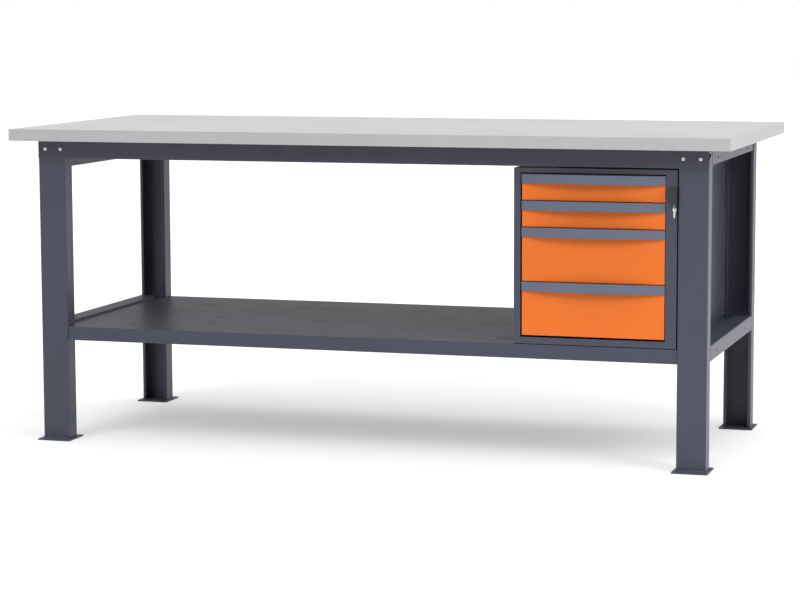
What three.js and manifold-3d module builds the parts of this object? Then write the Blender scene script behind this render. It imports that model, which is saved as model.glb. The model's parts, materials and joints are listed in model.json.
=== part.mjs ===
// A sheet-steel workbench: clad worktop on a bolted frame, low shelf, cabinet of four drawers with one lock.
// Millimetres, +Z up, origin on the floor under the middle of the worktop. The front faces -Y.

import * as THREE from 'three';
import { mergeVertices } from 'three/addons/utils/BufferGeometryUtils.js';
import Module from 'manifold-3d';

const wasm = await Module();
wasm.setup();

// ---- driving dimensions -------------------------------------------------------------------------

const GAP = 0.3; // clearance kept between pieces that touch
const PAST = 1; // how far a cut or a joined block runs past the face it meets

const TOP = { length: 2000, depth: 900, height: 870, edge: 32, skin: 1.5, lip: 20 };
const UNDER_TOP = TOP.height - TOP.edge;

// Outer faces of the four legs.
const FRAME = { side: 936.5, front: -396, back: 360 };

const LEG = { width: 78.5, depth: 50, wall: 2.5, lip: 9, bend: 3.5, step: 3.6, plateLap: 14, plateGap: 0.5 };
const LEG_NOTCH = { depth: 30, drop: 6, rise: 18, width: 4 }; // a sloped cut beside the bolts
const LEG_X = FRAME.side - LEG.width / 2;
const LEG_Y = { front: FRAME.front + LEG.depth / 2, back: FRAME.back - LEG.depth / 2 };
const BETWEEN_LEGS = FRAME.side - LEG.width;
const FOOT = { side: 95, thickness: 4 };

const RAIL = { bottom: 788.5, wall: 1.8, topFlange: 38, bottomFlange: 22, bend: 2.6, endGap: 1 };
const BOLT = { height: 814, inset: 5, spacing: 45, shank: 4, hole: 4.5, head: 5, headHeight: 4, length: 16 };
// From a right leg's middle to its two bolts.
const BOLT_OFFSETS = [-BOLT.inset - BOLT.spacing / 2, -BOLT.inset + BOLT.spacing / 2];
const SOCKET = { radius: 2.2, depth: 2.4 };

const SIDE_RAIL_Y = [FRAME.front + LEG.depth + GAP, FRAME.back - LEG.depth - GAP];
const SIDE_TOP = { width: 74, outerDrop: 41, innerDrop: 74, wall: 2, bend: 3, backEnd: 287 };
const SIDE_LOW = { width: 54, top: 327, height: 40.5, wall: 2, bend: 3 };
const SIDE_HOLE = { front: -262, back: 195, radius: 4.5, topDrop: 26, lowDrop: 21, slotHalf: 4 };

const SHELF = { top: 320, lip: 38, skin: 1.5, front: -391, back: 355, hem: 15 };

// The cabinet's own axes: X from the drawers' middle, Y from its front, Z from the shelf.
const CABINET_PLACE = [633.5, -392, SHELF.top];
const CABINET = { left: -211.5, right: 221, depth: 742, bottom: 2, top: 464.5, wall: 1.5, fold: 18, hem: 12 };
const CABINET_BACK = 1;
const OPENING = { left: -194, right: 191.5, bottom: 19.2, top: 452 };

const ROWS = [70, 70, 143, 143]; // height taken by each drawer, from the top down
const DEEP_ROW = 100; // a row above this height gets a deep box
const ROW_START = 448.5;
const ROW_GAP = 2.2;
const FRONT = { half: 189.5, face: 0.5, depth: 12, wall: 1.2 };
const HANDLE = { half: 190.5, height: 24, end: 2.2, bow: 20, wall: 1.6, steps: 26 };
const BOX = { half: 179.1, length: 700, wall: 1.2, lift: 8, shallow: 48, deep: 118 };
const BOX_FRONT = FRONT.face + FRONT.depth + GAP;

const RUNNER = { height: 34, depth: 11.8, wall: 1.5, bend: 2, lip: 3.2, boxGap: 1, start: 18.3, end: 730 };
const RUNNER_RISE = { shallow: 23, deep: 50 }; // from the box's bottom to the runner's mid-height
const SLIDER = { height: 24, depth: 9, wall: 1.5, bend: 2 };
const BRACKET = { height: 26, length: 20, starts: [52, 704] };

// The lock's own axes: its middle line at the cabinet's front face.
const LOCK_PLACE = [206.5, 0, 403];
const LOCK = { rim: 8.5, rimFace: 3, tube: 7.5, bore: 6.3, barrel: 6, barrelFace: 4, hole: 7.8, length: 20 };
const CAM = { halfWidth: 5, gap: 2, thickness: 2.5, down: 3, up: 11 };
const KEYWAY = { halfWidth: 1.3, halfHeight: 4.5, depth: 4 };
const KEY = { front: -16, thickness: 5, eyeX: 10, eyeZ: -22, eye: 2.5, round: 2.8 };
const KEY_OUTLINE = [[-8.5, 16], [-8.5, -10], [7, -32], [15, -30], [17, 13]];
const KEY_RING = { radius: 7.4, wire: 0.7 };
const SPARE = { bow: 5, drop: 2.4, hole: 1.9, thickness: 2 };
const SPARE_STEM = [
  [-2.6, -6], [-2.6, -22], [0.4, -24], // straight back edge and point
  [2.4, -21.5], [1.3, -19.5], [2.4, -17.5], [1.3, -15.5], [2.4, -13.5], [2.6, -6], // cut edge
];

// ---- materials ----------------------------------------------------------------------------------

function finish(color, roughness, metalness) {
  return () => new THREE.MeshStandardMaterial({ color, roughness, metalness });
}

const galvanised = finish(0xd6d8da, 0.45, 0.75);
const plywood = finish(0xb98d5c, 0.75, 0);
const greyPaint = finish(0x565a66, 0.5, 0.1);
const handlePaint = finish(0x6c7686, 0.45, 0.1);
const orangePaint = finish(0xed7a2d, 0.42, 0.05);
const zinc = finish(0xc4c8cc, 0.3, 0.9);
const chrome = finish(0xdadde0, 0.15, 1);
const blackPlastic = finish(0x1d1e20, 0.5, 0);
const brightSteel = finish(0xc9cccf, 0.25, 0.95);

// ---- solid tools --------------------------------------------------------------------------------

function solidOf(geometry) {
  const bare = geometry.clone();
  bare.deleteAttribute('normal');
  bare.deleteAttribute('uv');
  const merged = mergeVertices(bare, 1e-4);
  const vertProperties = new Float32Array(merged.attributes.position.array);
  const triVerts = new Uint32Array(merged.index.array);
  return new wasm.Manifold(new wasm.Mesh({ numProp: 3, vertProperties, triVerts }));
}

function geometryOf(solid) {
  const mesh = solid.getMesh();
  const geometry = new THREE.BufferGeometry();
  geometry.setAttribute('position', new THREE.BufferAttribute(new Float32Array(mesh.vertProperties), 3));
  geometry.setIndex(new THREE.BufferAttribute(new Uint32Array(mesh.triVerts), 1));
  geometry.computeVertexNormals();
  return geometry;
}

function block([x0, x1], [y0, y1], [z0, z1]) {
  const geometry = new THREE.BoxGeometry(x1 - x0, y1 - y0, z1 - z0);
  geometry.translate((x0 + x1) / 2, (y0 + y1) / 2, (z0 + z1) / 2);
  return solidOf(geometry);
}

function prism(shape, length, placement) {
  const settings = { depth: length, bevelEnabled: false, curveSegments: 12 };
  const geometry = new THREE.ExtrudeGeometry(shape, settings);
  geometry.applyMatrix4(placement);
  return solidOf(geometry);
}

// The shape's own axes become X, Y when it runs up Z; Y, Z when it runs along X; X, Z when it runs along Y.
const upright = (shape, z0, z1) => prism(shape, z1 - z0, new THREE.Matrix4().makeTranslation(0, 0, z0));

function lengthwise(shape, x0, x1) {
  const turn = new THREE.Matrix4().set(0, 0, 1, x0, 1, 0, 0, 0, 0, 1, 0, 0, 0, 0, 0, 1);
  return prism(shape, x1 - x0, turn);
}

function crosswise(shape, y0, y1) {
  const turn = new THREE.Matrix4().set(1, 0, 0, 0, 0, 0, -1, y1, 0, 1, 0, 0, 0, 0, 0, 1);
  return prism(shape, y1 - y0, turn);
}

const polygon = (points) => new THREE.Shape(points.map(([a, b]) => new THREE.Vector2(a, b)));

function disc(a, b, radius) {
  const shape = new THREE.Shape();
  shape.absarc(a, b, radius, 0, 2 * Math.PI, false);
  return shape;
}

function slot(a, b, radius, half) {
  const shape = new THREE.Shape();
  shape.absarc(a, b + half, radius, 0, Math.PI, false);
  shape.absarc(a, b - half, radius, Math.PI, 2 * Math.PI, false);
  return shape;
}

const rodAlongY = (x, z, radius, y0, y1) => crosswise(disc(x, z, radius), y0, y1);

// A mirror image across the plane x = 0, or y = 0, with its triangles turned to face outward again.
function mirrored(solid, axis) {
  const geometry = geometryOf(solid).scale(axis === 'x' ? -1 : 1, axis === 'y' ? -1 : 1, 1);
  const corners = geometry.index.array;
  for (let i = 0; i < corners.length; i += 3) {
    [corners[i], corners[i + 2]] = [corners[i + 2], corners[i]];
  }
  return solidOf(geometry);
}

// Outline of folded sheet: a path along one face, with the thickness on the path's left and round bends.
function foldedSheet(path, wall, bend) {
  const near = [];
  const far = [];
  const points = path.map(([a, b]) => new THREE.Vector2(a, b));
  const headings = points.slice(1).map((point, i) => point.clone().sub(points[i]).normalize());
  const leftOf = (d) => new THREE.Vector2(-d.y, d.x);
  const addPair = (centre, direction, nearRadius, farRadius) => {
    near.push(centre.clone().addScaledVector(direction, nearRadius));
    far.push(centre.clone().addScaledVector(direction, farRadius));
  };
  addPair(points[0], leftOf(headings[0]), 0, wall);
  for (let i = 1; i < points.length - 1; i += 1) {
    const before = headings[i - 1];
    const after = headings[i];
    const turn = Math.atan2(before.cross(after), before.dot(after));
    const side = Math.sign(turn);
    const nearRadius = side > 0 ? bend : bend - wall;
    const farRadius = side > 0 ? bend - wall : bend;
    const setback = nearRadius * Math.tan(Math.abs(turn) / 2);
    const outward = leftOf(before).multiplyScalar(-side);
    const centre = points[i].clone().addScaledVector(before, -setback).addScaledVector(outward, -nearRadius);
    const steps = 3;
    for (let k = 0; k <= steps; k += 1) {
      const direction = outward.clone().rotateAround(new THREE.Vector2(), (turn * k) / steps);
      addPair(centre, direction, nearRadius, farRadius);
    }
  }
  addPair(points.at(-1), leftOf(headings.at(-1)), 0, wall);
  return new THREE.Shape([...near, ...far.reverse()]);
}

// A polygon with every corner rounded by the same radius.
function roundedPolygon(corners, radius) {
  const shape = new THREE.Shape();
  const at = (i) => new THREE.Vector2(...corners[(i + corners.length) % corners.length]);
  corners.forEach((_, i) => {
    const corner = at(i);
    const start = corner.clone().add(at(i - 1).sub(corner).setLength(radius));
    const end = corner.clone().add(at(i + 1).sub(corner).setLength(radius));
    if (i === 0) shape.moveTo(start.x, start.y);
    else shape.lineTo(start.x, start.y);
    shape.quadraticCurveTo(corner.x, corner.y, end.x, end.y);
  });
  return shape;
}

// ---- scene graph --------------------------------------------------------------------------------

function addPiece(parent, name, solid, makeMaterial, place = [0, 0, 0]) {
  const mesh = new THREE.Mesh(geometryOf(solid), makeMaterial());
  mesh.name = name;
  mesh.position.set(...place);
  parent.add(mesh);
}

function addGroup(parent, place = [0, 0, 0]) {
  const inner = new THREE.Group();
  inner.position.set(...place);
  parent.add(inner);
  return inner;
}

// ---- worktop ------------------------------------------------------------------------------------

function addWorktop(parent) {
  const worktop = addGroup(parent, [0, 0, UNDER_TOP]);
  const across = (inset) => [-TOP.length / 2 + inset, TOP.length / 2 - inset];
  const along = (inset) => [-TOP.depth / 2 + inset, TOP.depth / 2 - inset];
  const outer = block(across(0), along(0), [0, TOP.edge]);
  const cavity = block(across(TOP.skin), along(TOP.skin), [TOP.skin, TOP.edge - TOP.skin]);
  const mouth = block(across(TOP.lip), along(TOP.lip), [-PAST, TOP.skin + PAST]);
  addPiece(worktop, 'worktop_sheet', outer.subtract(cavity).subtract(mouth), galvanised);
  const clear = TOP.skin + GAP;
  addPiece(worktop, 'worktop_board', block(across(clear), along(clear), [clear, TOP.edge - clear]), plywood);
}

// ---- frame --------------------------------------------------------------------------------------

// A leg on its own middle line: a lipped channel with its web at the front, open behind. At the top the web
// steps back behind the rail that laps over it, and a plate carries the bolts.
function legSolid() {
  const x = LEG.width / 2;
  const y = LEG.depth / 2;
  const path = [[LEG.lip - x, y], [-x, y], [-x, -y], [x, -y], [x, y], [x - LEG.lip, y]];
  const top = UNDER_TOP - GAP;
  const step = RAIL.bottom - GAP;
  const channel = upright(foldedSheet(path, LEG.wall, LEG.bend), FOOT.thickness + GAP, top);
  const lap = block([-x - PAST, x + PAST], [-y - PAST, LEG.step - y], [step, top + PAST]);
  const plateFace = RAIL.wall + LEG.plateGap - y;
  const plate = block([-x, x], [plateFace, plateFace + LEG.wall], [step - LEG.plateLap, top]);
  const notch = polygon([
    [-y - PAST, BOLT.height - LEG_NOTCH.drop],
    [LEG_NOTCH.depth - y, BOLT.height + LEG_NOTCH.rise / 2],
    [-y - PAST, BOLT.height + LEG_NOTCH.rise],
  ]);
  let leg = channel.subtract(lap).add(plate).subtract(lengthwise(notch, x - LEG_NOTCH.width, x + PAST));
  for (const offset of BOLT_OFFSETS) {
    leg = leg.subtract(rodAlongY(offset, BOLT.height, BOLT.hole, -y - PAST, BOLT.length - y));
  }
  return leg;
}

function addLegs(parent) {
  const frontRight = legSolid();
  const backRight = mirrored(frontRight, 'y');
  const foot = block([-FOOT.side / 2, FOOT.side / 2], [-FOOT.side / 2, FOOT.side / 2], [0, FOOT.thickness]);
  const rows = { front: frontRight, back: backRight };
  for (const [row, right] of Object.entries(rows)) {
    const places = { right: [LEG_X, LEG_Y[row], 0], left: [-LEG_X, LEG_Y[row], 0] };
    addPiece(parent, `leg_${row}_right`, right, greyPaint, places.right);
    addPiece(parent, `leg_${row}_left`, mirrored(right, 'x'), greyPaint, places.left);
    for (const [side, place] of Object.entries(places)) {
      addPiece(parent, `foot_${row}_${side}`, foot, greyPaint, place);
    }
  }
}

const boltPlaces = [-1, 1].flatMap((end) => BOLT_OFFSETS.map((offset) => end * (LEG_X + offset)));

// The front rail from its lower front edge. Its web laps over the legs; its flanges run only between them.
function railSolid() {
  const top = UNDER_TOP - GAP - RAIL.bottom;
  const clear = BETWEEN_LEGS - RAIL.endGap;
  const path = [[RAIL.topFlange, top], [0, top], [0, 0], [RAIL.bottomFlange, 0]];
  const web = [0, RAIL.wall];
  let rail = lengthwise(foldedSheet(path, RAIL.wall, RAIL.bend), -clear, clear)
    .add(block([-FRAME.side, FRAME.side], web, [RAIL.bend, top - RAIL.bend]))
    .add(block([clear - PAST, FRAME.side], web, [0, top]))
    .add(block([-FRAME.side, PAST - clear], web, [0, top]));
  for (const x of boltPlaces) {
    rail = rail.subtract(rodAlongY(x, BOLT.height - RAIL.bottom, BOLT.hole, -PAST, RAIL.wall + PAST));
  }
  return rail;
}

function addRails(parent) {
  const rail = railSolid();
  addPiece(parent, 'rail_front', rail, greyPaint, [0, FRAME.front, RAIL.bottom]);
  addPiece(parent, 'rail_back', mirrored(rail, 'y'), greyPaint, [0, FRAME.back, RAIL.bottom]);
}

// A bolt from the underside of its head, pointing along +Y.
function boltSolid() {
  const face = -BOLT.headHeight;
  const hexagon = [0, 1, 2, 3, 4, 5].map((k) => {
    const angle = (k * Math.PI) / 3;
    return [SOCKET.radius * Math.cos(angle), SOCKET.radius * Math.sin(angle)];
  });
  return rodAlongY(0, 0, BOLT.head, face, 0)
    .add(rodAlongY(0, 0, BOLT.shank, -PAST, BOLT.length))
    .subtract(crosswise(polygon(hexagon), face - PAST, face + SOCKET.depth));
}

function addBolts(parent) {
  const bolt = boltSolid();
  boltPlaces.forEach((x, i) => {
    addPiece(parent, `bolt_${i + 1}`, bolt, zinc, [x, FRAME.front - GAP, BOLT.height]);
  });
}

// Right-hand side rails from their upper outer edge, both channels open below.
function topSideRail() {
  const path = [
    [0, -SIDE_TOP.outerDrop],
    [0, 0],
    [-SIDE_TOP.width, 0],
    [-SIDE_TOP.width, -SIDE_TOP.innerDrop],
  ];
  const outside = [-SIDE_TOP.bend - 2 * PAST, PAST];
  const rearEnd = [SIDE_TOP.backEnd, SIDE_RAIL_Y[1] + PAST];
  const notch = block(outside, rearEnd, [-SIDE_TOP.innerDrop, -SIDE_TOP.bend]);
  const hole = disc(SIDE_HOLE.front, -SIDE_HOLE.topDrop, SIDE_HOLE.radius);
  const long = slot(SIDE_HOLE.back, -SIDE_HOLE.topDrop, SIDE_HOLE.radius, SIDE_HOLE.slotHalf);
  return crosswise(foldedSheet(path, SIDE_TOP.wall, SIDE_TOP.bend), ...SIDE_RAIL_Y)
    .subtract(notch)
    .subtract(lengthwise(hole, ...outside))
    .subtract(lengthwise(long, ...outside));
}

function lowSideRail() {
  const path = [
    [0, -SIDE_LOW.height],
    [0, 0],
    [-SIDE_LOW.width, 0],
    [-SIDE_LOW.width, -SIDE_LOW.height],
  ];
  let rail = crosswise(foldedSheet(path, SIDE_LOW.wall, SIDE_LOW.bend), ...SIDE_RAIL_Y);
  for (const y of [SIDE_HOLE.front, SIDE_HOLE.back]) {
    const round = disc(y, -SIDE_HOLE.lowDrop, SIDE_HOLE.radius);
    rail = rail.subtract(lengthwise(round, -SIDE_LOW.bend - 2 * PAST, PAST));
  }
  return rail;
}

function addSideRails(parent) {
  const levels = {
    top: { solid: topSideRail(), height: UNDER_TOP - GAP },
    low: { solid: lowSideRail(), height: SIDE_LOW.top },
  };
  for (const [level, { solid, height }] of Object.entries(levels)) {
    addPiece(parent, `side_rail_${level}_right`, solid, greyPaint, [FRAME.side, 0, height]);
    addPiece(parent, `side_rail_${level}_left`, mirrored(solid, 'x'), greyPaint, [-FRAME.side, 0, height]);
  }
}

// The shelf is a tray open below: narrow between the legs, wider between the side rails, with two hems.
function addShelf(parent) {
  const narrow = BETWEEN_LEGS - 2 * GAP;
  const wide = FRAME.side - SIDE_LOW.width - 2 * GAP;
  const wideY = [SIDE_RAIL_Y[0] + GAP, SIDE_RAIL_Y[1] - GAP];
  const t = SHELF.skin;
  const height = [-SHELF.lip, 0];
  const under = [-SHELF.lip - PAST, -t];
  const insideX = [t - narrow, narrow - t];
  const shelf = block([-narrow, narrow], [SHELF.front, SHELF.back], height)
    .add(block([-wide, wide], wideY, height))
    .subtract(block(insideX, [SHELF.front + t, SHELF.back - t], [t - SHELF.lip, -t]))
    .subtract(block(insideX, [SHELF.front + SHELF.hem, SHELF.back - SHELF.hem], under))
    .subtract(block([t - wide, wide - t], [wideY[0] + t, wideY[1] - t], under));
  addPiece(parent, 'shelf', shelf, greyPaint, [0, 0, SHELF.top]);
}

// ---- cabinet ------------------------------------------------------------------------------------

// The cabinet's sides and back stand on the shelf. Its floor and front panel clear the shelf between them.
function cabinetShell() {
  const t = CABINET.wall;
  const insideX = [CABINET.left + t, CABINET.right - t];
  const insideZ = [CABINET.bottom + t, CABINET.top - t];
  const narrowed = ([low, high]) => [low + CABINET.hem, high - CABINET.hem];
  const outer = block([CABINET.left, CABINET.right], [0, CABINET.depth], [GAP, CABINET.top]);
  const cavity = block(insideX, [t, CABINET.depth - t], insideZ);
  const rear = block(narrowed(insideX), [CABINET.depth - t - PAST, CABINET.depth + PAST], narrowed(insideZ));
  const under = block(insideX, [-PAST, CABINET.depth - t], [GAP - PAST, CABINET.bottom]);
  return outer.subtract(cavity).subtract(rear).subtract(under);
}

// The cabinet's body is its shell, the folded-in border around the front opening, and the hole for the lock.
function cabinetBody() {
  const t = CABINET.wall;
  const border = block(
    [OPENING.left - t, OPENING.right + t],
    [0, CABINET.fold],
    [OPENING.bottom - t, OPENING.top + t],
  );
  const through = [-PAST, CABINET.fold + PAST];
  const mouth = block([OPENING.left, OPENING.right], through, [OPENING.bottom, OPENING.top]);
  const lockHole = rodAlongY(LOCK_PLACE[0], LOCK_PLACE[2], LOCK.hole, -PAST, t + PAST);
  return cabinetShell().add(border).subtract(mouth).subtract(lockHole);
}

function addCabinetBody(cabinet) {
  addPiece(cabinet, 'cabinet_body', cabinetBody(), greyPaint);
  const plate = block(
    [CABINET.left + GAP, CABINET.right - GAP],
    [CABINET.depth + GAP, CABINET.depth + GAP + CABINET_BACK],
    [CABINET.bottom + GAP, CABINET.top - GAP],
  );
  addPiece(cabinet, 'cabinet_back', plate, greyPaint);
}

// ---- drawers, each from the top edge of its front -----------------------------------------------

function frontPan(height) {
  const t = FRONT.wall;
  const back = FRONT.face + FRONT.depth;
  const outer = block([-FRONT.half, FRONT.half], [FRONT.face, back], [-height, 0]);
  const inner = block([t - FRONT.half, FRONT.half - t], [FRONT.face + t, back + PAST], [t - height, -t]);
  return outer.subtract(inner);
}

// Plan of the bowed handle: a shallow arc in front of a straight back, or the finger hollow inset from it.
function bowedPlan(inset) {
  const back = FRONT.face - GAP;
  const rise = HANDLE.bow - HANDLE.end;
  const radius = (HANDLE.half ** 2 + rise ** 2) / (2 * rise);
  const centreY = back - HANDLE.bow + radius;
  const reach = radius - inset;
  const lineY = inset > 0 ? back - inset : back - HANDLE.end;
  const span = Math.sqrt(reach ** 2 - (centreY - lineY) ** 2);
  const points = [];
  for (let i = 0; i <= HANDLE.steps; i += 1) {
    const x = -span + (2 * span * i) / HANDLE.steps;
    points.push([x, centreY - Math.sqrt(reach ** 2 - x ** 2)]);
  }
  if (inset === 0) points.push([HANDLE.half, back], [-HANDLE.half, back]);
  return polygon(points);
}

function handleSolid() {
  const hollow = upright(bowedPlan(HANDLE.wall), -HANDLE.height - PAST, -HANDLE.wall);
  return upright(bowedPlan(0), -HANDLE.height, 0).subtract(hollow);
}

function boxSolid(bottom, height) {
  const t = BOX.wall;
  const y = [BOX_FRONT, BOX_FRONT + BOX.length];
  const outer = block([-BOX.half, BOX.half], y, [bottom, bottom + height]);
  const inside = [bottom + t, bottom + height + PAST];
  const inner = block([t - BOX.half, BOX.half - t], [y[0] + t, y[1] - t], inside);
  return outer.subtract(inner);
}

// Left-hand runner about its own mid-height: a lipped channel open towards the drawer, on two wall brackets.
function runnerSolid(wallX) {
  const half = RUNNER.height / 2;
  const mouth = -BOX.half - RUNNER.boxGap;
  const web = mouth - RUNNER.depth;
  const path = [
    [mouth, half - RUNNER.lip],
    [mouth, half],
    [web, half],
    [web, -half],
    [mouth, -half],
    [mouth, RUNNER.lip - half],
  ];
  let runner = crosswise(foldedSheet(path, RUNNER.wall, RUNNER.bend), RUNNER.start, RUNNER.end);
  for (const y of BRACKET.starts) {
    const height = [-BRACKET.height / 2, BRACKET.height / 2];
    runner = runner.add(block([wallX, web + RUNNER.wall / 2], [y, y + BRACKET.length], height));
  }
  return runner;
}

function sliderSolid() {
  const half = SLIDER.height / 2;
  const side = -BOX.half - GAP;
  const path = [[side - SLIDER.depth, -half], [side, -half], [side, half], [side - SLIDER.depth, half]];
  return crosswise(foldedSheet(path, SLIDER.wall, SLIDER.bend), BOX_FRONT, BOX_FRONT + BOX.length);
}

function addDrawer(cabinet, name, pitch, top) {
  const drawer = addGroup(cabinet, [0, 0, top]);
  const deep = pitch > DEEP_ROW;
  const height = pitch - ROW_GAP;
  const boxBottom = BOX.lift - height;
  const runnerHeight = boxBottom + (deep ? RUNNER_RISE.deep : RUNNER_RISE.shallow);
  const wall = CABINET.wall + GAP;
  addPiece(drawer, `${name}_front`, frontPan(height), orangePaint);
  addPiece(drawer, `${name}_handle`, handleSolid(), handlePaint);
  addPiece(drawer, `${name}_box`, boxSolid(boxBottom, deep ? BOX.deep : BOX.shallow), handlePaint);
  const level = [0, 0, runnerHeight];
  addPiece(drawer, `${name}_slider_left`, sliderSolid(), zinc, level);
  addPiece(drawer, `${name}_slider_right`, mirrored(sliderSolid(), 'x'), zinc, level);
  addPiece(drawer, `${name}_runner_left`, runnerSolid(CABINET.left + wall), zinc, level);
  addPiece(drawer, `${name}_runner_right`, mirrored(runnerSolid(wall - CABINET.right), 'x'), zinc, level);
}

function addDrawers(cabinet) {
  let top = ROW_START;
  ROWS.forEach((pitch, i) => {
    addDrawer(cabinet, `drawer_${i + 1}`, pitch, top);
    top -= pitch;
  });
}

// ---- lock and keys ------------------------------------------------------------------------------

function addLock(lock) {
  const housing = rodAlongY(0, 0, LOCK.rim, -LOCK.rimFace, -GAP)
    .add(rodAlongY(0, 0, LOCK.tube, -PAST, LOCK.length))
    .subtract(rodAlongY(0, 0, LOCK.bore, -LOCK.rimFace - PAST, LOCK.length + PAST));
  addPiece(lock, 'lock_housing', housing, chrome);
  const camFront = LOCK.length + CAM.gap;
  const camDepth = [camFront, camFront + CAM.thickness];
  const cam = block([-CAM.halfWidth, CAM.halfWidth], camDepth, [-CAM.down, CAM.up]);
  const keyway = block(
    [-KEYWAY.halfWidth, KEYWAY.halfWidth],
    [-LOCK.barrelFace - PAST, KEYWAY.depth],
    [-KEYWAY.halfHeight, KEYWAY.halfHeight],
  );
  const core = rodAlongY(0, 0, LOCK.barrel, -LOCK.barrelFace, camFront + PAST);
  const barrel = core.add(cam).subtract(keyway);
  addPiece(lock, 'lock_barrel', barrel, chrome);
}

function addKey(lock) {
  const back = KEY.front + KEY.thickness;
  const blade = block(
    [GAP - KEYWAY.halfWidth, KEYWAY.halfWidth - GAP],
    [back + GAP, KEYWAY.depth - GAP],
    [GAP - KEYWAY.halfHeight, KEYWAY.halfHeight - GAP],
  );
  addPiece(lock, 'key_blade', blade, brightSteel);
  const eye = rodAlongY(KEY.eyeX, KEY.eyeZ, KEY.eye, KEY.front - PAST, back + PAST);
  const head = crosswise(roundedPolygon(KEY_OUTLINE, KEY.round), KEY.front, back).subtract(eye);
  addPiece(lock, 'key_head', head, blackPlastic);
}

// The ring hangs from the key head's eye in a plane across the head, and the spare key hangs from the ring.
function addSpareKey(lock) {
  const hang = addGroup(lock, [KEY.eyeX, KEY.front + KEY.thickness / 2, KEY.eyeZ]);
  const wire = new THREE.Path().absarc(KEY_RING.radius, 0, KEY_RING.wire, 0, 2 * Math.PI, false).getPoints(8);
  const ring = new THREE.LatheGeometry(wire, 32).rotateZ(Math.PI / 2);
  addPiece(hang, 'key_ring', solidOf(ring), brightSteel, [0, 0, -KEY_RING.radius]);
  const half = SPARE.thickness / 2;
  const spare = rodAlongY(0, -SPARE.drop, SPARE.bow, -half, half)
    .add(crosswise(polygon(SPARE_STEM), -half, half))
    .subtract(rodAlongY(0, 0, SPARE.hole, -half - PAST, half + PAST));
  addPiece(hang, 'spare_key', spare, brightSteel, [0, 0, -2 * KEY_RING.radius]);
}

// ---- the whole bench ----------------------------------------------------------------------------

const bench = new THREE.Group();
addWorktop(bench);
addRails(bench);
addLegs(bench);
addSideRails(bench);
addShelf(bench);
addBolts(bench);

const cabinet = addGroup(bench, CABINET_PLACE);
addCabinetBody(cabinet);
addDrawers(cabinet);

const lock = addGroup(cabinet, LOCK_PLACE);
addLock(lock);
addKey(lock);
addSpareKey(lock);

export default bench;
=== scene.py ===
"""A sheet-steel workbench with a drawer cabinet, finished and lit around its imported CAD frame.

Metres, +Z up."""
import json
import math

import bmesh
import bpy
from mathutils import Matrix, Vector


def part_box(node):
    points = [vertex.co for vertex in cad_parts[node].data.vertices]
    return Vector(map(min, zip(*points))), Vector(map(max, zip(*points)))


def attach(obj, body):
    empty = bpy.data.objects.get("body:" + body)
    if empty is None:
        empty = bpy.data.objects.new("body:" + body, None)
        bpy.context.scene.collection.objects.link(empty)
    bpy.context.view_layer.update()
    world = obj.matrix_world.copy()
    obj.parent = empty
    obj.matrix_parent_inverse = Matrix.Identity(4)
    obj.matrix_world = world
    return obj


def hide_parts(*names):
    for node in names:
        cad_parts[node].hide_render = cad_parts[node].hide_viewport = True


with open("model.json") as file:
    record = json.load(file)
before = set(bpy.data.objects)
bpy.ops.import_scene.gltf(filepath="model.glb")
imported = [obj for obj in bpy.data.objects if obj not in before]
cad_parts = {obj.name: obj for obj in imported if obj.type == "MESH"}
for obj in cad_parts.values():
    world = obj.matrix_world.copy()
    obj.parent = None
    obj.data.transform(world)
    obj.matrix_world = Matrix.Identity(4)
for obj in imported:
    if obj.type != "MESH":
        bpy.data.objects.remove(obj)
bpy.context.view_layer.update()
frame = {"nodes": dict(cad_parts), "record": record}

MM = 0.001
DRAWERS = ["drawer_1", "drawer_2", "drawer_3", "drawer_4"]
SIDES = ["left", "right"]
LEGS = ["front_left", "front_right", "back_left", "back_right"]

SHARP_ANGLE = math.radians(35.0)

PIECE_GAP = 0.3 * MM
BOX_WALL = 1.2 * MM
SLIDER_WALL = 1.5 * MM
SCREW_PLACES = (0.045, 0.235, 0.455, 0.655)  # along a slider, from its front end
HANDLE_END = 2.2 * MM
LOCK_BORE = 6.3 * MM
LOCK_TUBE = 7.5 * MM
BOLT_RISE = 4.0 * MM
BOLTED_STACK = 4.9 * MM  # from under a bolt's head to its nut: the rail, the leg's plate and their gaps

CAMERA = {"place": (2.066, -6.700, 1.222), "yaw": 17.235, "pitch": 6.875, "roll": -0.185, "lens": 112.33}
WORLD_LEVEL = 0.78
WORLD_LOBES = (  # direction, how narrow, and how much light it adds
    ((-0.25, 0.96, 0.10), 6.0, -0.36),
    ((0.60, -0.75, 0.20), 5.0, -0.45),
    ((-0.60, -0.80, -0.05), 4.0, -0.62),
    ((0.88, 0.05, 0.38), 3.0, 0.76),
)


# ---- materials -----------------------------------------------------------------------------------

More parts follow.
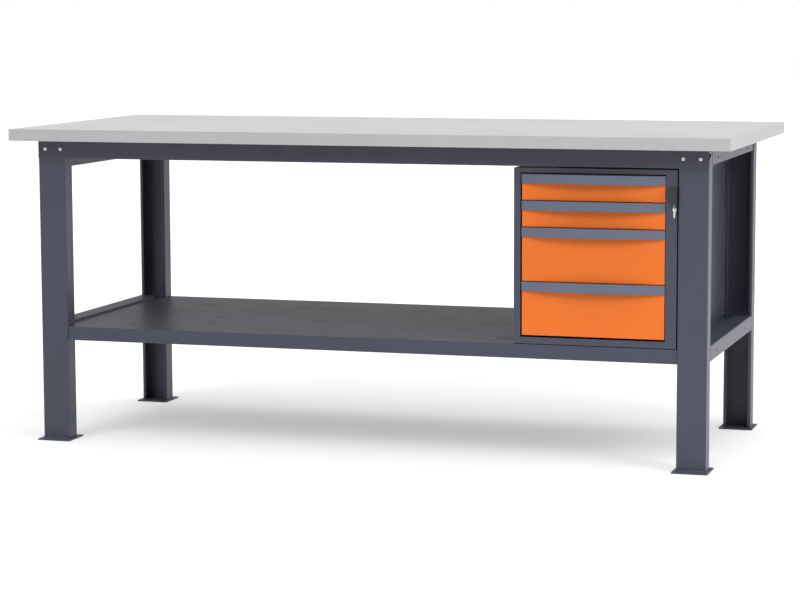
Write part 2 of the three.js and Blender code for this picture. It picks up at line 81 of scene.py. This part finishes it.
class Surface:
    """A Principled material and the few node-graph steps that the finishes below are made of."""

    def __init__(self, name, metallic=0.0, specular=0.5):
        self.material = bpy.data.materials.new(name)
        self.material.use_nodes = True
        self.tree = self.material.node_tree
        self.bsdf = next(n for n in self.tree.nodes if n.type == "BSDF_PRINCIPLED")
        self.bsdf.inputs["Metallic"].default_value = metallic
        self.bsdf.inputs["Specular IOR Level"].default_value = specular
        self.place = self.node("ShaderNodeTexCoord").outputs["Object"]

    def node(self, kind, **settings):
        made = self.tree.nodes.new(kind)
        for key, value in settings.items():
            setattr(made, key, value)
        return made

    def link(self, output, target):
        self.tree.links.new(output, target)

    def stretched(self, scale):
        """Object coordinates scaled by (x, y, z), so that a texture can run along one direction."""
        mapping = self.node("ShaderNodeMapping")
        mapping.inputs["Scale"].default_value = scale
        self.link(self.place, mapping.inputs["Vector"])
        return mapping.outputs["Vector"]

    def noise(self, scale, detail=3.0, roughness=0.5, stretch=(1, 1, 1)):
        texture = self.node("ShaderNodeTexNoise")
        texture.inputs["Scale"].default_value = scale
        texture.inputs["Detail"].default_value = detail
        texture.inputs["Roughness"].default_value = roughness
        self.link(self.stretched(stretch), texture.inputs["Vector"])
        return texture.outputs["Fac"]

    def remap(self, value, low, high, out_low, out_high):
        step = self.node("ShaderNodeMapRange")
        limits = {"From Min": low, "From Max": high, "To Min": out_low, "To Max": out_high}
        for name, number in limits.items():
            step.inputs[name].default_value = number
        self.link(value, step.inputs["Value"])
        return step.outputs["Result"]

    def mix(self, factor, first, second, blend="MIX"):
        """Mixes two colours; each is a linear (r, g, b) or the output of another node."""
        mixer = self.node("ShaderNodeMix", data_type="RGBA", blend_type=blend)
        sockets = (mixer.inputs[0], mixer.inputs[6], mixer.inputs[7])
        for value, socket in zip((factor, first, second), sockets):
            if isinstance(value, bpy.types.NodeSocket):
                self.link(value, socket)
            elif isinstance(value, tuple):
                socket.default_value = (*value, 1.0)
            else:
                socket.default_value = value
        return mixer.outputs[2]

    def bump(self, height, distance, below=None):
        step = self.node("ShaderNodeBump")
        step.inputs["Strength"].default_value = 1.0
        step.inputs["Distance"].default_value = distance
        self.link(height, step.inputs["Height"])
        if below is not None:
            self.link(below, step.inputs["Normal"])
        return step.outputs["Normal"]

    def finish(self, color, roughness, normal):
        self.link(color, self.bsdf.inputs["Base Color"])
        self.link(roughness, self.bsdf.inputs["Roughness"])
        self.link(normal, self.bsdf.inputs["Normal"])
        return self.material


def scaled(color, factor):
    return tuple(min(1.0, channel * factor) for channel in color)


def powder_coat(name, color, gloss=0.38):
    """Sprayed and baked paint: orange peel, a fine grain, slow drift in tone, faint handling marks."""
    s = Surface(name, specular=0.3)
    drift = s.remap(s.noise(1.7, 2.0), 0.3, 0.7, 0.0, 1.0)
    grain = s.remap(s.noise(1400.0, 2.0), 0.35, 0.65, 0.0, 1.0)
    tone = s.mix(drift, scaled(color, 0.94), scaled(color, 1.07))
    tone = s.mix(grain, tone, s.mix(0.012, tone, (0.9, 0.9, 0.9)))
    rubbed = s.remap(s.noise(9.0, 5.0, 0.62), 0.55, 0.75, 0.0, 1.0)
    rough = s.remap(rubbed, 0.0, 1.0, gloss, gloss + 0.1)
    peel = s.bump(s.noise(310.0, 2.0, 0.4), 0.12 * MM)
    normal = s.bump(s.noise(1500.0, 2.0), 0.02 * MM, peel)
    return s.finish(tone, rough, normal)


def sheet_metal(name, color, gloss, along=(1.0, 14.0, 14.0), wave=0.0, metallic=1.0, upright_shade=1.0):
    """Rolled or plated sheet: marks along the rolling direction, cloudy tone, a slightly wavy surface.

    Faces that stand upright are multiplied by a painted shade factor, so they come out darker than the
    faces that look up."""
    s = Surface(name, metallic=metallic)
    streaks = s.noise(70.0, 6.0, 0.65, along)
    cloud = s.remap(s.noise(3.1, 4.0, 0.6), 0.3, 0.7, 0.0, 1.0)
    tone = s.mix(cloud, scaled(color, 0.965), scaled(color, 1.03))
    tone = s.mix(s.remap(streaks, 0.35, 0.65, 0.0, 0.4), tone, scaled(color, 0.92))
    # Painted shade: upright faces are darkened by how little their normal points up, standing in for the
    # lesser light they get.
    if upright_shade < 1.0:
        level = s.node("ShaderNodeSeparateXYZ")
        s.link(s.node("ShaderNodeNewGeometry").outputs["Normal"], level.inputs[0])
        upright = s.remap(level.outputs["Z"], 0.2, 0.8, 1.0, 0.0)
        tone = s.mix(upright, tone, (upright_shade,) * 3, "MULTIPLY")
    rough = s.remap(streaks, 0.3, 0.7, gloss - 0.05, gloss + 0.07)
    normal = s.bump(streaks, 0.015 * MM)
    if wave:
        normal = s.bump(s.noise(2.4, 1.0, 0.4, (1.0, 0.4, 0.4)), wave, normal)
    return s.finish(tone, rough, normal)


def bare_wood(name, light, dark):
    """Wavy growth rings along X with fine dark pores."""
    s = Surface(name, specular=0.3)
    rings = s.node("ShaderNodeTexWave", wave_type="BANDS", bands_direction="Y")
    rings.inputs["Scale"].default_value = 9.0
    rings.inputs["Distortion"].default_value = 7.0
    rings.inputs["Detail"].default_value = 3.0
    rings.inputs["Detail Scale"].default_value = 1.4
    s.link(s.stretched((0.14, 1.0, 1.0)), rings.inputs["Vector"])
    pores = s.noise(260.0, 4.0, 0.6, (0.05, 1.0, 1.0))
    tone = s.mix(rings.outputs["Fac"], light, dark)
    tone = s.mix(s.remap(pores, 0.5, 0.75, 0.0, 0.5), tone, scaled(dark, 0.6))
    return s.finish(tone, s.remap(pores, 0.3, 0.7, 0.62, 0.82), s.bump(pores, 0.08 * MM))


def moulded_plastic(name, color):
    """Plastic with a fine spark-eroded grain."""
    gloss = 0.42
    s = Surface(name)
    grain = s.noise(2600.0, 3.0, 0.6)
    tone = s.mix(s.remap(s.noise(60.0, 3.0), 0.3, 0.7, 0.0, 1.0), color, scaled(color, 1.5))
    return s.finish(tone, s.remap(grain, 0.3, 0.7, gloss, gloss + 0.12), s.bump(grain, 0.03 * MM))


MATERIALS = {
    # The worktop sheet's upright edges get painted shade, multiplied by 0.68.
    "galvanised_top": sheet_metal(
        "galvanised_top", (0.70, 0.71, 0.72), 0.42, wave=0.6 * MM, metallic=0.75, upright_shade=0.68
    ),
    "plywood": bare_wood("plywood", (0.50, 0.31, 0.15), (0.36, 0.20, 0.09)),
    "grey_paint": powder_coat("grey_paint", (0.043, 0.046, 0.070)),
    "handle_paint": powder_coat("handle_paint", (0.092, 0.110, 0.155), 0.36),
    "orange_paint": powder_coat("orange_paint", (0.63, 0.126, 0.006), 0.45),
    "zinc": sheet_metal("zinc", (0.74, 0.76, 0.77), 0.3, (14.0, 1.0, 14.0), metallic=0.62),
    "chrome": sheet_metal("chrome", (0.78, 0.79, 0.80), 0.14, (3.0, 3.0, 3.0)),
    "black_plastic": moulded_plastic("black_plastic", (0.012, 0.012, 0.013)),
    "key_steel": sheet_metal("key_steel", (0.72, 0.72, 0.70), 0.22, (14.0, 14.0, 2.0)),
}


# ---- mesh tools ----------------------------------------------------------------------------------

def smooth_by_angle(mesh):
    mesh.shade_smooth()
    mesh.set_sharp_from_angle(angle=SHARP_ANGLE)


def soften(obj, width, segments=2):
    """Rounds every sharp edge and keeps the flat faces flat."""
    bevel = obj.modifiers.new("rounded_edges", "BEVEL")
    bevel.width = width
    bevel.segments = segments
    bevel.limit_method = "ANGLE"
    bevel.angle_limit = SHARP_ANGLE
    weigh = obj.modifiers.new("flat_faces_stay_flat", "WEIGHTED_NORMAL")
    weigh.weight = 90
    weigh.keep_sharp = True


def dress(node, edge, segments=2):
    """Gives a CAD node its slot's material and small rounded edges."""
    obj = frame["nodes"][node]
    name = next(s["material_slot"] for s in frame["record"]["subparts"] if s["node"] == node)
    obj.data.materials.clear()
    obj.data.materials.append(MATERIALS[name])
    smooth_by_angle(obj.data)
    soften(obj, edge, segments)


def add_piece(name, mesh, slot_name, body, edge=0.0, replaces=()):
    """Puts a mesh that is already in the row frame into the scene, riding on a body."""
    mesh.materials.append(MATERIALS[slot_name])
    smooth_by_angle(mesh)
    obj = bpy.data.objects.new(name, mesh)
    bpy.context.scene.collection.objects.link(obj)
    if edge:
        soften(obj, edge)
    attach(obj, body)
    if replaces:
        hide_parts(*replaces)


def mesh_of(name, rings, closed_path=False, caps=True):
    """A skin over rings of points, each ring with the same number of points."""
    bm = bmesh.new()
    rows = [[bm.verts.new(p) for p in ring] for ring in rings]
    count = len(rows[0])
    last = len(rows) if closed_path else len(rows) - 1
    for i in range(last):
        here, there = rows[i], rows[(i + 1) % len(rows)]
        for j in range(count):
            k = (j + 1) % count
            bm.faces.new((here[j], here[k], there[k], there[j]))
    if caps and not closed_path:
        bm.faces.new(list(reversed(rows[0])))
        bm.faces.new(rows[-1])
    bmesh.ops.recalc_face_normals(bm, faces=bm.faces)
    mesh = bpy.data.meshes.new(name)
    bm.to_mesh(mesh)
    bm.free()
    return mesh


def turned(name, profile, place, axis=(0, -1, 0), steps=48, hollow=False):
    """A turned piece. The profile is (radius, height, flats) in order along its skin.

    Flats 6 makes that ring a hexagon with that radius to its corners, and 0 makes it a circle.
    Height runs along the axis from the place."""
    turn = Vector((0, 0, 1)).rotation_difference(Vector(axis)).to_matrix()
    origin = Vector(place)
    rings = []
    for radius, height, flats in profile:
        ring = []
        for i in range(steps):
            angle = 2 * math.pi * i / steps
            reach = radius
            if flats:
                part = math.pi / flats
                reach = radius * math.cos(part) / math.cos((angle % (2 * part)) - part)
            point = Vector((reach * math.cos(angle), reach * math.sin(angle), height))
            ring.append(origin + turn @ point)
        rings.append(ring)
    return mesh_of(name, rings, closed_path=hollow, caps=not hollow)


def joined(name, meshes):
    """One mesh from several."""
    bm = bmesh.new()
    for mesh in meshes:
        bm.from_mesh(mesh)
        bpy.data.meshes.remove(mesh)
    result = bpy.data.meshes.new(name)
    bm.to_mesh(result)
    bm.free()
    return result


# ---- pieces --------------------------------------------------------------------------------------

def middle_of(node):
    """The middle of a CAD node's box, and half its size."""
    low, high = (Vector(corner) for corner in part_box(node))
    return (low + high) / 2, (high - low) / 2


def dress_frame():
    dress("worktop_sheet", 1.6 * MM, segments=3)
    dress("worktop_board", 0.5 * MM)
    for name in ("rail_front", "rail_back", "shelf", "cabinet_back"):
        dress(name, 0.4 * MM)
    dress("cabinet_body", 0.6 * MM)
    for place in LEGS:
        dress(f"leg_{place}", 0.25 * MM)
        dress(f"foot_{place}", 0.9 * MM)
        add_foot_welds(place)
    for side in SIDES:
        dress(f"side_rail_top_{side}", 0.4 * MM)
        dress(f"side_rail_low_{side}", 0.4 * MM)
    add_back_rivets()


def weld_bead(start, end, outward):
    """A rippled fillet in the corner between a plate and a wall, from start to end."""
    start, end, outward = Vector(start), Vector(end), Vector(outward)
    length = (end - start).length
    size = 3.2 * MM
    ripple = 1.9 * MM
    steps = max(8, int(length / ripple * 4))
    rings = []
    for i in range(steps + 1):
        share = i / steps
        taper = min(1.0, 8 * min(share, 1 - share) + 0.25)
        reach = size * taper * (0.93 + 0.07 * math.sin(2 * math.pi * share * length / ripple))
        base = start.lerp(end, share)
        ring = [base - outward * 0.4 * MM]
        for k in range(5):
            turn = math.pi / 2 * k / 4
            bulge = 1.0 - 0.22 * math.sin(2 * turn)
            direction = outward * math.cos(turn) + Vector((0, 0, 1)) * math.sin(turn)
            ring.append(base + direction * reach * bulge)
        rings.append(ring)
    return mesh_of("weld_bead", rings)


def add_foot_welds(place):
    """Beads round the three outer faces of a leg where it stands on its foot."""
    middle, half = middle_of(f"leg_{place}")
    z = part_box(f"foot_{place}")[1][2]
    front = -1 if "front" in place else 1
    corner = 4.0 * MM
    x0, x1 = middle.x - half.x, middle.x + half.x
    y0, y1 = middle.y + front * half.y, middle.y - front * half.y
    beads = [weld_bead((x0 + corner, y0, z), (x1 - corner, y0, z), (0, front, 0))]
    for x, out in ((x0, -1), (x1, 1)):
        start = (x, y0 - front * corner, z)
        beads.append(weld_bead(start, (x, y1 + front * corner, z), (out, 0, 0)))
    add_piece(f"foot_welds_{place}", joined("foot_welds", beads), "grey_paint", "frame")


def add_back_rivets():
    """Pop rivets round the edge of the cabinet's back plate."""
    low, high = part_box("cabinet_back")
    inset, across, up = 7.0 * MM, 4, 5
    sunk = 0.05 * MM
    dome = [
        (2.6 * MM, 0.0, 0),
        (2.4 * MM, 0.5 * MM, 0),
        (1.6 * MM, 0.95 * MM, 0),
        (0.7 * MM, 1.1 * MM, 0),
    ]
    places = []
    for i in range(across):
        x = low[0] + inset + (high[0] - low[0] - 2 * inset) * i / (across - 1)
        places += [(x, low[2] + inset), (x, high[2] - inset)]
    for i in range(1, up - 1):
        z = low[2] + inset + (high[2] - low[2] - 2 * inset) * i / (up - 1)
        places += [(low[0] + inset, z), (high[0] - inset, z)]
    rivets = [turned("rivet", dome, (x, high[1] - sunk, z), (0, 1, 0), 20) for x, z in places]
    add_piece("cabinet_back_rivets", joined("rivets", rivets), "zinc", "frame")


def handle_section(depth, height):
    """A folded strip seen from its end, as (behind the face, above the top) in metres.

    It is a top plate, a round bend, the face and a hem turned in at the bottom."""
    sheet = 1.4 * MM
    bend = min(2.6 * MM, 0.85 * (depth - sheet) + 0.3 * MM)
    inner = max(bend - sheet, 0.12 * MM)
    hem = min(3.0 * MM, depth - 0.25 * MM)
    points = [(depth, 0.0)]
    for k in range(6):
        turn = math.pi / 2 * k / 5
        points.append((bend - bend * math.sin(turn), -bend + bend * math.cos(turn)))
    foot = -height
    points += [(0.0, foot + 0.7 * MM), (0.2 * MM, foot + 0.2 * MM), (0.7 * MM, foot), (hem, foot)]
    points += [(hem, foot + sheet), (sheet, foot + sheet)]
    for k in range(6):
        turn = math.pi / 2 * (1 - k / 5)
        points.append((sheet + inner - inner * math.sin(turn), -sheet - inner + inner * math.cos(turn)))
    points.append((depth, -sheet))
    return points


def add_handle(drawer):
    """The bowed pull: the folded strip follows a shallow arc across the drawer and closes at both ends."""
    node = f"{drawer}_handle"
    low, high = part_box(node)
    middle, half = middle_of(node)
    rise = (high[1] - low[1]) - HANDLE_END
    radius = (half.x ** 2 + rise ** 2) / (2 * rise)
    steps = 96
    rings = []
    for i in range(steps + 1):
        x = -half.x + 2 * half.x * i / steps
        depth = HANDLE_END + math.sqrt(max(0.0, radius ** 2 - x ** 2)) - (radius - rise)
        section = handle_section(depth, high[2] - low[2])
        face = high[1] - depth
        rings.append([(middle.x + x, face + back, high[2] + up) for back, up in section])
    pull = mesh_of("pull", rings)
    add_piece(f"{drawer}_pull", pull, "handle_paint", drawer, 0.12 * MM, replaces=[node])


def add_box_hem(drawer):
    """The rolled edge round the top of a drawer's box."""
    low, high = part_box(f"{drawer}_box")
    roll = 1.5 * MM
    inset = BOX_WALL + roll * 0.8
    sides = 12
    z = high[2] - roll
    corners = [(low[0] + inset, low[1] + inset), (high[0] - inset, low[1] + inset),
               (high[0] - inset, high[1] - inset), (low[0] + inset, high[1] - inset)]
    centre = Vector(((low[0] + high[0]) / 2, (low[1] + high[1]) / 2, z))
    rings = []
    for x, y in corners:
        point = Vector((x, y, z))
        outward = Vector((math.copysign(1, x - centre.x), math.copysign(1, y - centre.y), 0))
        ring = []
        for k in range(sides):
            turn = 2 * math.pi * k / sides
            level = Vector((0, 0, roll * math.sin(turn)))
            ring.append(point + outward * roll * math.cos(turn) + level)
        rings.append(ring)
    hem = mesh_of("hem", rings, closed_path=True, caps=False)
    add_piece(f"{drawer}_box_hem", hem, "handle_paint", drawer)


def pan_head(place, axis):
    """A low screw head with a hexagonal socket, standing on a face."""
    radius = 3.2 * MM
    profile = [
        (radius, 0.0, 0),
        (radius, 0.5 * MM, 0),
        (radius * 0.8, 1.3 * MM, 0),
        (radius * 0.55, 1.6 * MM, 0),
        (radius * 0.45, 1.6 * MM, 6),
        (radius * 0.45, 0.6 * MM, 6),
    ]
    return turned("pan_head", profile, place, axis, 24)


def add_slide_screws(drawer):
    """Screws that hold each slider to the drawer's box."""
    for side, out in (("left", -1), ("right", 1)):
        low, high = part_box(f"{drawer}_slider_{side}")
        web = (high[0] - SLIDER_WALL) if out < 0 else (low[0] + SLIDER_WALL)
        z = (low[2] + high[2]) / 2
        heads = [pan_head((web, low[1] + along, z), (out, 0, 0)) for along in SCREW_PLACES]
        add_piece(f"{drawer}_slider_screws_{side}", joined("screws", heads), "zinc", drawer)


def dress_drawers():
    for drawer in DRAWERS:
        dress(f"{drawer}_front", 0.5 * MM, segments=3)
        dress(f"{drawer}_box", 0.3 * MM)
        add_handle(drawer)
        add_box_hem(drawer)
        add_slide_screws(drawer)
        for side in SIDES:
            dress(f"{drawer}_runner_{side}", 0.3 * MM)
            dress(f"{drawer}_slider_{side}", 0.3 * MM)


def add_key_ring():
    """A split ring: two turns of round wire, side by side, whose ends overlap."""
    middle, half = middle_of("key_ring")
    wire = half.x / 2
    radius = half.y - wire
    steps, sides, turns = 132, 10, 1.92
    rings = []
    for i in range(steps + 1):
        share = i / steps
        turn = 2 * math.pi * turns * share
        outward = Vector((0, math.cos(turn), math.sin(turn)))
        centre = middle + outward * radius + Vector(((2 * share - 1) * wire, 0, 0))
        ring = []
        for k in range(sides):
            around = 2 * math.pi * k / sides
            direction = outward * math.cos(around) + Vector((1, 0, 0)) * math.sin(around)
            ring.append(centre + direction * wire)
        rings.append(ring)
    mesh = mesh_of("split_ring", rings)
    add_piece("split_ring", mesh, "key_steel", "spare_key_set", replaces=["key_ring"])


def add_lock_rim():
    """The lock's turned flange and threaded tube round the barrel."""
    low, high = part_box("lock_housing")
    middle, half = middle_of("lock_housing")
    rim, bore, tube = half.x, LOCK_BORE, LOCK_TUBE
    depth = high[1] - low[1]
    seat = depth - 2.7 * MM
    profile = [(bore, 0.0, 0), (tube - 0.6 * MM, 0.0, 0)]
    pitch = 1.0 * MM
    for k in range(int((seat - 1.0 * MM) / pitch)):
        profile += [(tube, (k + 0.5) * pitch, 0), (tube - 0.5 * MM, (k + 1.0) * pitch, 0)]
    profile += [
        (tube, seat, 0),
        (rim, seat, 0),
        (rim, seat + 0.9 * MM, 0),
        (rim - 0.5 * MM, seat + 1.6 * MM, 0),
        (rim - 1.0 * MM, depth - 0.2 * MM, 0),
        (rim - 1.4 * MM, depth, 0),
        (bore + 0.3 * MM, depth, 0),
        (bore, depth - 0.3 * MM, 0),
    ]
    mesh = turned("lock_rim", profile, (middle.x, high[1], middle.z), steps=64, hollow=True)
    add_piece("lock_flange", mesh, "chrome", "frame", replaces=["lock_housing"])


def dress_lock():
    add_lock_rim()
    dress("lock_barrel", 0.3 * MM)
    dress("key_blade", 0.3 * MM)
    dress("key_head", 1.1 * MM, segments=3)
    dress("spare_key", 0.25 * MM)
    add_key_ring()


def bolt_mesh(place, axis, head, length):
    """A button-head bolt with a hexagonal socket and a threaded shank. The place is under the head."""
    shank, shoulder, pitch = 4.0 * MM, 1.4 * MM, 1.25 * MM
    dome_steps = 6
    profile = [(2.6 * MM, -length, 0), (shank - 0.6 * MM, -length + 0.6 * MM, 0)]
    for k in range(int((length - 2 * MM) / pitch)):
        start = -length + 0.9 * MM + k * pitch
        profile += [(shank, start, 0), (shank - 0.55 * MM, start + pitch / 2, 0)]
    profile += [(shank, -0.4 * MM, 0), (shank, 0.0, 0), (head, 0.0, 0), (head, shoulder, 0)]
    for k in range(1, dome_steps):
        turn = math.pi / 2 * k / dome_steps
        radius = head * (0.55 + 0.45 * math.cos(turn))
        profile.append((radius, shoulder + (BOLT_RISE - shoulder) * math.sin(turn), 0))
    profile += [
        (2.35 * MM, BOLT_RISE, 0),
        (2.3 * MM, BOLT_RISE - 0.15 * MM, 6),
        (2.2 * MM, BOLT_RISE - 2.4 * MM, 6),
        (0.3 * MM, BOLT_RISE - 2.9 * MM, 6),
    ]
    return turned("bolt", profile, place, axis)


def nut_mesh(place, axis):
    """A hexagonal nut with chamfered corners, standing on a face."""
    across, high, bore, chamfer = 7.4 * MM, 6.0 * MM, 3.8 * MM, 0.7 * MM
    profile = [
        (bore, 0.0, 0),
        (across * 0.9, 0.0, 0),
        (across, chamfer, 6),
        (across, high - chamfer, 6),
        (across * 0.9, high, 0),
        (bore, high, 0),
    ]
    return turned("nut", profile, place, axis, hollow=True)


def add_bolts():
    """The four front bolts in place of the CAD ones, four more through the back rail, and a nut on each."""
    back_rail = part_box("rail_back")[1][1] + PIECE_GAP
    nuts = []
    for i in range(4):
        node = f"bolt_{i + 1}"
        middle, half = middle_of(node)
        low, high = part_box(node)
        seat = low[1] + BOLT_RISE
        length = high[1] - seat
        front = bolt_mesh((middle.x, seat, middle.z), (0, -1, 0), half.x, length)
        add_piece(f"front_bolt_{i + 1}", front, "zinc", "frame", replaces=[node])
        nuts.append(nut_mesh((middle.x, seat + BOLTED_STACK, middle.z), (0, 1, 0)))
        behind = bolt_mesh((middle.x, back_rail, middle.z), (0, 1, 0), half.x, length)
        add_piece(f"back_bolt_{i + 1}", behind, "zinc", "frame")
        nuts.append(nut_mesh((middle.x, back_rail - BOLTED_STACK, middle.z), (0, -1, 0)))
    add_piece("bolt_nuts", joined("nuts", nuts), "zinc", "frame")


# ---- stage ---------------------------------------------------------------------------------------

def add_floor():
    """A wide pale floor, faintly luminous so that shadows on it stay light."""
    half = 30.0
    corners = [(-half, -half, 0), (half, -half, 0), (half, half, 0), (-half, half, 0)]
    mesh = bpy.data.meshes.new("floor")
    mesh.from_pydata(corners, [], [(0, 1, 2, 3)])
    s = Surface("pale_floor", specular=0.2)
    tone = s.mix(s.noise(0.6, 2.0), (0.60, 0.60, 0.60), (0.63, 0.63, 0.63))
    s.bsdf.inputs["Emission Color"].default_value = (1.0, 1.0, 1.0, 1.0)
    s.bsdf.inputs["Emission Strength"].default_value = 0.36
    rough = s.remap(s.noise(4.0), 0.3, 0.7, 0.7, 0.8)
    mesh.materials.append(s.finish(tone, rough, s.bump(s.noise(200.0), 0.02 * MM)))
    floor = bpy.data.objects.new("floor", mesh)
    bpy.context.scene.collection.objects.link(floor)


def add_sun(name, place, strength, width):
    """Light from far away in the direction of a place, as wide across as the angle in degrees."""
    light = bpy.data.lights.new(name, "SUN")
    light.energy = strength
    light.angle = math.radians(width)
    obj = bpy.data.objects.new(name, light)
    bpy.context.scene.collection.objects.link(obj)
    obj.location = place
    obj.rotation_euler = (-Vector(place)).to_track_quat("-Z", "Y").to_euler()


def add_panel(name, place, target, size, power):
    """A soft square light close to the object, that neither the camera nor a shiny surface sees."""
    light = bpy.data.lights.new(name, "AREA")
    light.energy = power
    light.size = size
    obj = bpy.data.objects.new(name, light)
    bpy.context.scene.collection.objects.link(obj)
    obj.location = place
    obj.rotation_euler = (Vector(target) - Vector(place)).to_track_quat("-Z", "Y").to_euler()
    obj.visible_camera = False
    obj.visible_glossy = False


def add_lights():
    add_sun("key_above_front", (-0.8, -3.9, 4.1), 1.40, 34.0)
    add_sun("overhead", (0.6, 0.8, 5.0), 0.9, 60.0)
    add_panel("fill_right", (3.6, -2.0, 2.5), (0.7, -0.3, 0.5), 1.4, 52.0)


class World:
    """A studio seen only by the light: even overall, darker or brighter towards a few directions."""

    def __init__(self):
        self.world = bpy.data.worlds.new("studio")
        self.world.use_nodes = True
        self.tree = self.world.node_tree
        self.tree.nodes.clear()
        self.direction = self.tree.nodes.new("ShaderNodeTexCoord").outputs["Generated"]

    def math(self, operation, first, second):
        step = self.tree.nodes.new("ShaderNodeMath")
        step.operation = operation
        for value, socket in zip((first, second), step.inputs):
            if isinstance(value, bpy.types.NodeSocket):
                self.tree.links.new(value, socket)
            else:
                socket.default_value = value
        return step.outputs[0]

    def lobe(self, towards, power, amount):
        """A patch of light that fades away from one direction. A negative amount makes it shade."""
        dot = self.tree.nodes.new("ShaderNodeVectorMath")
        dot.operation = "DOT_PRODUCT"
        dot.inputs[1].default_value = Vector(towards).normalized()
        self.tree.links.new(self.direction, dot.inputs[0])
        facing = self.math("MAXIMUM", dot.outputs["Value"], 0.0)
        return self.math("MULTIPLY", self.math("POWER", facing, power), amount)

    def background(self, level):
        shader = self.tree.nodes.new("ShaderNodeBackground")
        if isinstance(level, bpy.types.NodeSocket):
            self.tree.links.new(level, shader.inputs["Strength"])
        else:
            shader.inputs["Strength"].default_value = level
        shader.inputs["Color"].default_value = (1.0, 1.0, 1.0, 1.0)
        return shader.outputs[0]


def set_world():
    """White behind the object, and light on it from a room with darker and brighter sides."""
    w = World()
    level = WORLD_LEVEL
    for towards, power, amount in WORLD_LOBES:
        level = w.math("ADD", level, w.lobe(towards, power, amount))
    mixer = w.tree.nodes.new("ShaderNodeMixShader")
    path = w.tree.nodes.new("ShaderNodeLightPath")
    out = w.tree.nodes.new("ShaderNodeOutputWorld")
    w.tree.links.new(path.outputs["Is Camera Ray"], mixer.inputs[0])
    w.tree.links.new(w.background(level), mixer.inputs[1])
    w.tree.links.new(w.background(1.0), mixer.inputs[2])
    w.tree.links.new(mixer.outputs[0], out.inputs["Surface"])
    bpy.context.scene.world = w.world


def add_camera():
    """Yaw turns the view left from +Y, and pitch turns it down, in degrees."""
    camera = bpy.data.cameras.new("camera")
    camera.lens = CAMERA["lens"]
    camera.clip_end = 200.0
    obj = bpy.data.objects.new("camera", camera)
    bpy.context.scene.collection.objects.link(obj)
    yaw, pitch, roll = (math.radians(CAMERA[k]) for k in ("yaw", "pitch", "roll"))
    flat = math.cos(pitch)
    ahead = Vector((-math.sin(yaw) * flat, math.cos(yaw) * flat, -math.sin(pitch)))
    level = Vector((math.cos(yaw), math.sin(yaw), 0.0))
    upright = level.cross(ahead)
    right = level * math.cos(roll) + upright * math.sin(roll)
    up = upright * math.cos(roll) - level * math.sin(roll)
    turn = Matrix((right, up, -ahead)).transposed().to_4x4()
    obj.matrix_world = Matrix.Translation(CAMERA["place"]) @ turn
    bpy.context.scene.camera = obj


add_camera()
dress_frame()
dress_drawers()
dress_lock()
add_bolts()
add_floor()
add_lights()
set_world()
bpy.context.scene.view_settings.view_transform = "Standard"
